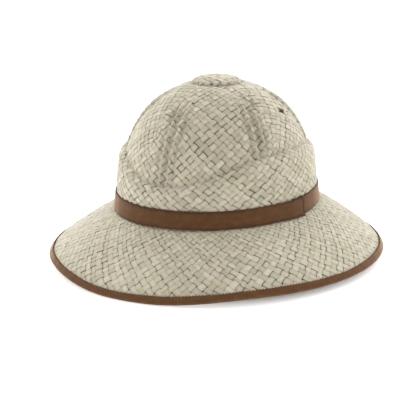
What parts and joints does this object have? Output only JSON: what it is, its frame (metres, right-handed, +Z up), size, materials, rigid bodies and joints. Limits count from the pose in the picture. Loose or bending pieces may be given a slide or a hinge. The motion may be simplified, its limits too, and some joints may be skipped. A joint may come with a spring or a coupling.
{
  "type": "woven straw pith helmet",
  "caption": "Straw sun helmet: domed crown with double pleats, stepped wall and button, ribbon band, and a sloping brim bound with tape.",
  "frame": {"origin": "on the surface that the hat rests on, under the middle of the brim", "axes": "+Z up through the button, the front of the hat towards -Y, the wearer's left towards +X"},
  "size_m": [0.303, 0.3169, 0.1648],
  "materials": {
    "woven_straw": "pale natural straw, plain weave",
    "band_ribbon": "matt brown ribbon",
    "binding_tape": "matt brown tape"
  },
  "bodies": {
    "root": {"straw_body": "woven_straw", "hat_band": "band_ribbon", "brim_binding": "binding_tape"}
  },
  "joints": []
}
